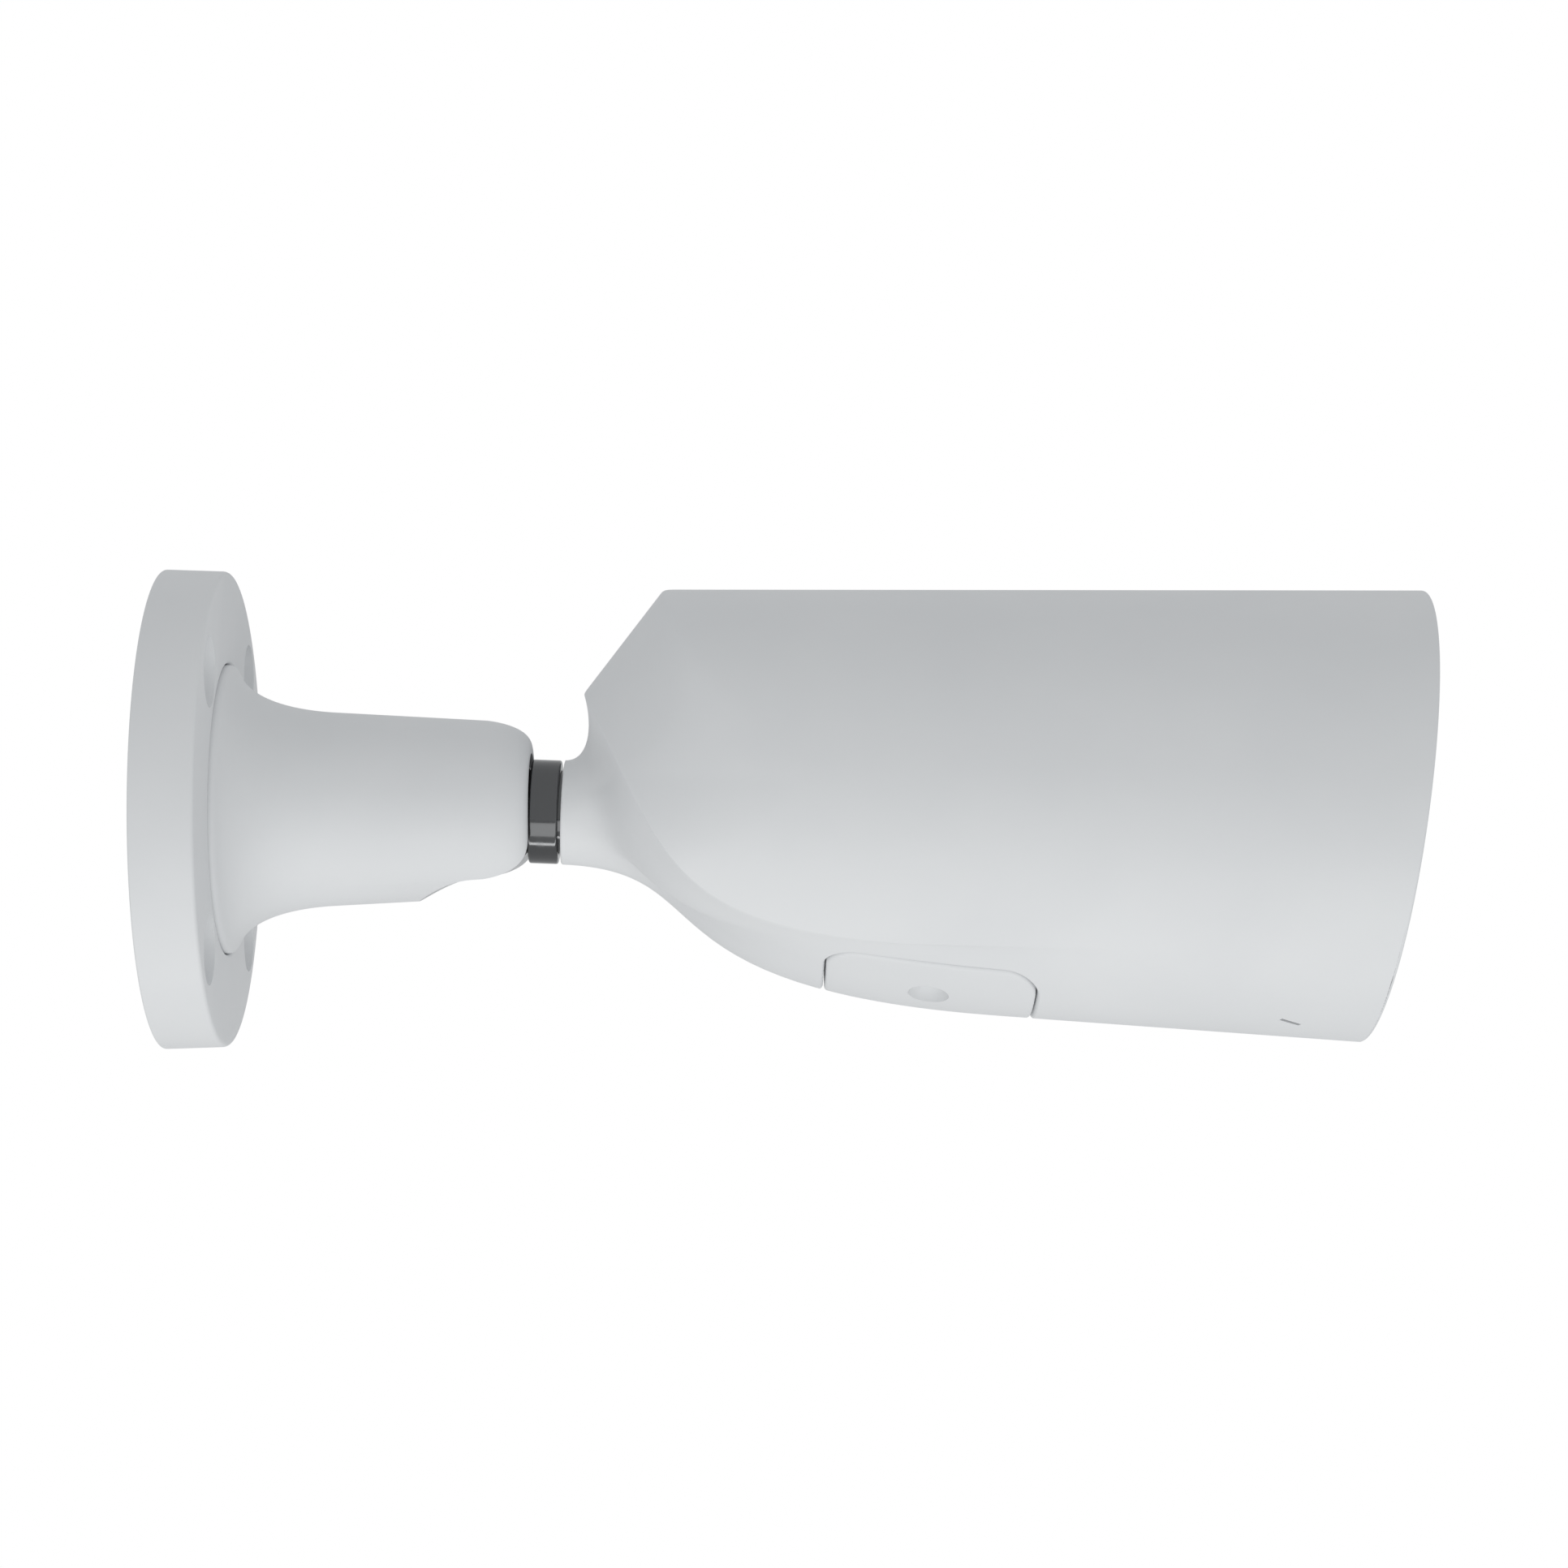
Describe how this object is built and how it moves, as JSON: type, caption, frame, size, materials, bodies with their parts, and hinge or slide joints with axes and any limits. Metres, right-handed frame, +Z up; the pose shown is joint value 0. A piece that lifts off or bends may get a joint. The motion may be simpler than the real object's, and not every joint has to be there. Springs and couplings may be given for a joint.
{
  "type": "security camera",
  "caption": "Outdoor bullet camera: a hooded round housing on a ball joint and a bell-footed wall arm, with a service cover underneath and infrared lamps behind a flat front window.",
  "frame": {"origin": "centre of the base plate's wall face", "axes": "+X away from the wall along the arm, +Z up, +Y to the left seen from the wall"},
  "size_m": [0.2489, 0.095, 0.095],
  "materials": {
    "white_coat": "satin white powder coat over a die-cast shell",
    "dark_metal": "turned and dark-plated metal, satin gloss",
    "steel": "plain bright steel",
    "brass": "machined brass",
    "cast_alloy": "bare cast alloy, matte",
    "black_plastic": "moulded black plastic, fine matte grain",
    "seal_rubber": "soft moulded rubber",
    "window_glass": "flat tinted window, polished",
    "lens_glass": "coated lens glass",
    "circuit_board": "green solder mask",
    "chip_plastic": "moulded chip package",
    "lamp_plastic": "dark clear lamp resin"
  },
  "bodies": {
    "wall_base": {"base_plate": "white_coat", "cable_entry_gasket": "seal_rubber"},
    "arm": {"arm": "white_coat", "pan_retainer": "steel", "pan_screw_1": "steel", "pan_screw_2": "steel", "pan_screw_3": "steel", "ball_seat_front": "black_plastic", "ball_seat_rear": "black_plastic", "seat_spring": "steel", "clamp_nut": "brass"},
    "tilt_stem": {"ball_stem": "dark_metal", "stem_o_ring": "seal_rubber", "stem_clip": "steel"},
    "locking_collar": {"locking_collar": "dark_metal"},
    "camera": {"housing": "white_coat", "front_bezel": "black_plastic", "window_seal": "seal_rubber", "front_window": "window_glass", "led_board": "circuit_board", "light_baffle": "seal_rubber", "ir_led_1": "lamp_plastic", "ir_led_2": "lamp_plastic", "ir_led_3": "lamp_plastic", "ir_led_4": "lamp_plastic", "ir_led_5": "lamp_plastic", "ir_led_6": "lamp_plastic", "ir_led_7": "lamp_plastic", "ir_led_8": "lamp_plastic", "light_sensor": "lens_glass", "microphone": "steel", "lens_barrel": "black_plastic", "lens_front_element": "lens_glass", "lens_rear_element": "lens_glass", "zoom_motor": "steel", "focus_motor": "steel", "filter_solenoid": "steel", "sensor_board": "circuit_board", "image_sensor": "chip_plastic", "chassis": "cast_alloy", "service_board": "circuit_board", "card_socket": "steel", "network_jack": "steel", "power_module": "chip_plastic", "main_board": "circuit_board", "processor": "chip_plastic", "heat_pad": "seal_rubber", "heat_spreader": "cast_alloy", "cable_gland": "seal_rubber"},
    "access_cover": {"access_cover": "white_coat", "cover_gasket": "seal_rubber", "cover_screw_1": "steel", "cover_screw_2": "steel"},
    "zoom_ring": {"zoom_ring": "black_plastic"},
    "focus_ring": {"focus_ring": "black_plastic"},
    "zoom_pinion": {"zoom_pinion": "brass"},
    "focus_pinion": {"focus_pinion": "brass"},
    "ir_cut_filter": {"ir_cut_filter": "lens_glass"},
    "memory_card": {"memory_card": "chip_plastic"},
    "reset_button": {"reset_button": "lamp_plastic"}
  },
  "joints": [
    {"name": "arm_pan", "type": "hinge", "parent": "wall_base", "child": "arm", "pos_m": [0, 0, 0], "axis": [1, 0, 0], "range_deg": [-175, 175]},
    {"name": "ball_tilt", "type": "hinge", "parent": "arm", "child": "tilt_stem", "pos_m": [0.0611, 0, 0], "axis": [0, 1, 0], "range_deg": [-2, 88]},
    {"name": "collar_turn", "type": "hinge", "parent": "tilt_stem", "child": "locking_collar", "pos_m": [0.0611, 0, 0], "axis": [0.9993, 0, -0.0366], "range_deg": [0, 90]},
    {"name": "camera_roll", "type": "hinge", "parent": "tilt_stem", "child": "camera", "pos_m": [0.0611, 0, 0], "axis": [0.9993, 0, -0.0366], "range_deg": [-175, 175]},
    {"name": "cover_release", "type": "slide", "parent": "camera", "child": "access_cover", "axis": [-0.0366, 0, -0.9993], "range_m": [0, 0.02]},
    {"name": "zoom_turn", "type": "hinge", "parent": "camera", "child": "zoom_ring", "pos_m": [0.06129, 0, 0.0051], "axis": [0.9993, 0, -0.0366], "range_deg": [0, 60]},
    {"name": "zoom_pinion_turn", "type": "hinge", "parent": "camera", "child": "zoom_pinion", "pos_m": [0.19978, 0.01445, 0.01608], "axis": [0.9993, 0, -0.0366], "range_deg": [-180, 0]},
    {"name": "focus_turn", "type": "hinge", "parent": "camera", "child": "focus_ring", "pos_m": [0.06129, 0, 0.0051], "axis": [0.9993, 0, -0.0366], "range_deg": [-45, 45]},
    {"name": "focus_pinion_turn", "type": "hinge", "parent": "camera", "child": "focus_pinion", "pos_m": [0.18879, -0.01445, 0.01648], "axis": [0.9993, 0, -0.0366], "range_deg": [-135, 135]},
    {"name": "filter_shift", "type": "slide", "parent": "camera", "child": "ir_cut_filter", "axis": [0, 1, 0], "range_m": [0, 0.0105]},
    {"name": "card_eject", "type": "slide", "parent": "camera", "child": "memory_card", "axis": [-0.9993, 0, 0.0366], "range_m": [0, 0.013]},
    {"name": "reset_press", "type": "slide", "parent": "camera", "child": "reset_button", "axis": [0.0366, 0, 0.9993], "range_m": [0, 0.0005], "stiffness_N_per_m": 400, "springref_m": -0.0005}
  ],
  "couplings": [
    {"joint": "zoom_pinion_turn", "follows": "zoom_turn", "ratio": -3},
    {"joint": "focus_pinion_turn", "follows": "focus_turn", "ratio": -3}
  ]
}
